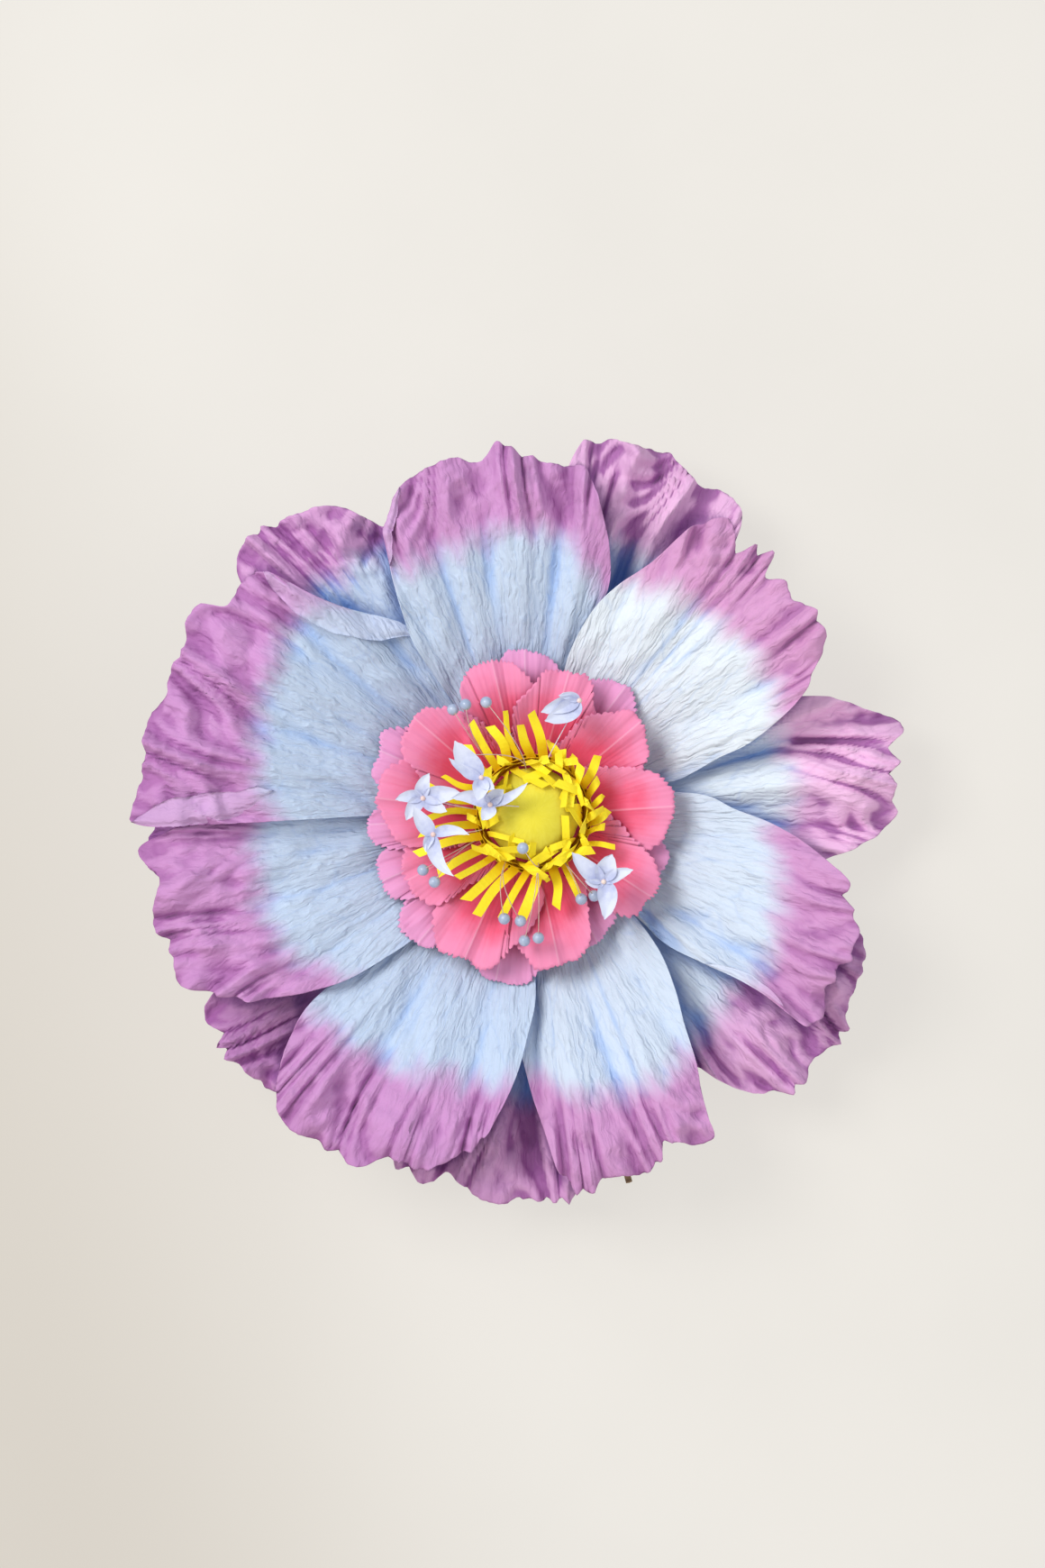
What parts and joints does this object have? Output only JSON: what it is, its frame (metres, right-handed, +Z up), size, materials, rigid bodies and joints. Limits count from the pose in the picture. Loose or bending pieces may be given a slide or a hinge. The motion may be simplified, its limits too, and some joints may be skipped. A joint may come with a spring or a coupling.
{
  "type": "giant paper flower",
  "caption": "Large wall flower of dyed, crumpled paper: two rings of blue and purple petals, a pink petal ring, cut yellow fringe, pearl stamens and small star flowers on a flat board.",
  "frame": {"origin": "middle of the backing board's flat back face, on the wall", "axes": "+Z up, +Y into the wall, +X to the right as seen from the front; the flower faces -Y"},
  "size_m": [0.5904, 0.1484, 0.592],
  "materials": {
    "foam": "white foam board and foam core, matt",
    "kraft_tape": "brown paper tape wound round wire",
    "twine": "twisted natural twine",
    "yellow_ball": "stretched yellow crepe paper over a ball",
    "yellow_paper": "yellow paper cut into strips",
    "petal_paper": "crumpled paper dyed blue, with a purple outer band",
    "back_petal_paper": "crumpled paper dyed blue, with a deep purple outer band",
    "mauve_paper": "ribbed paper with pinked edges, mauve pink",
    "pink_paper": "ribbed paper with pinked edges, rose pink paling to the edge",
    "pearl": "blue-grey pearl beads on thin wires",
    "pale_paper": "pale blue-white paper petals round a small bead"
  },
  "bodies": {
    "root": {"backing_board": "foam", "foam_core": "foam", "wire_stem": "kraft_tape", "hanging_loop": "twine", "centre_ball": "yellow_ball", "fringe_band_inner": "yellow_paper", "fringe_band_middle": "yellow_paper", "fringe_band_outer": "yellow_paper", "front_petal_top": "petal_paper", "front_petal_upper_right": "petal_paper", "front_petal_right": "petal_paper", "front_petal_lower_right": "petal_paper", "front_petal_lower_left": "petal_paper", "front_petal_left": "petal_paper", "front_petal_upper_left": "petal_paper", "back_petal_upper_right": "back_petal_paper", "back_petal_right": "back_petal_paper", "back_petal_lower_right": "back_petal_paper", "back_petal_bottom": "back_petal_paper", "back_petal_lower_left": "back_petal_paper", "back_petal_left": "back_petal_paper", "back_petal_upper_left": "back_petal_paper", "mauve_petal_1": "mauve_paper", "mauve_petal_2": "mauve_paper", "mauve_petal_3": "mauve_paper", "mauve_petal_4": "mauve_paper", "mauve_petal_5": "mauve_paper", "mauve_petal_6": "mauve_paper", "mauve_petal_7": "mauve_paper", "mauve_petal_8": "mauve_paper", "mauve_petal_9": "mauve_paper", "mauve_petal_10": "mauve_paper", "pink_petal_1": "pink_paper", "pink_petal_2": "pink_paper", "pink_petal_3": "pink_paper", "pink_petal_4": "pink_paper", "pink_petal_5": "pink_paper", "pink_petal_6": "pink_paper", "pink_petal_7": "pink_paper", "pink_petal_8": "pink_paper", "pink_petal_9": "pink_paper", "pink_petal_10": "pink_paper", "pearl_stamen_1": "pearl", "pearl_stamen_2": "pearl", "pearl_stamen_3": "pearl", "pearl_stamen_4": "pearl", "pearl_stamen_5": "pearl", "pearl_stamen_6": "pearl", "pearl_stamen_7": "pearl", "star_flower_1": "pale_paper", "star_flower_2": "pale_paper", "star_flower_3": "pale_paper", "star_flower_4": "pale_paper", "star_flower_5": "pale_paper", "star_flower_6": "pale_paper"}
  },
  "joints": []
}
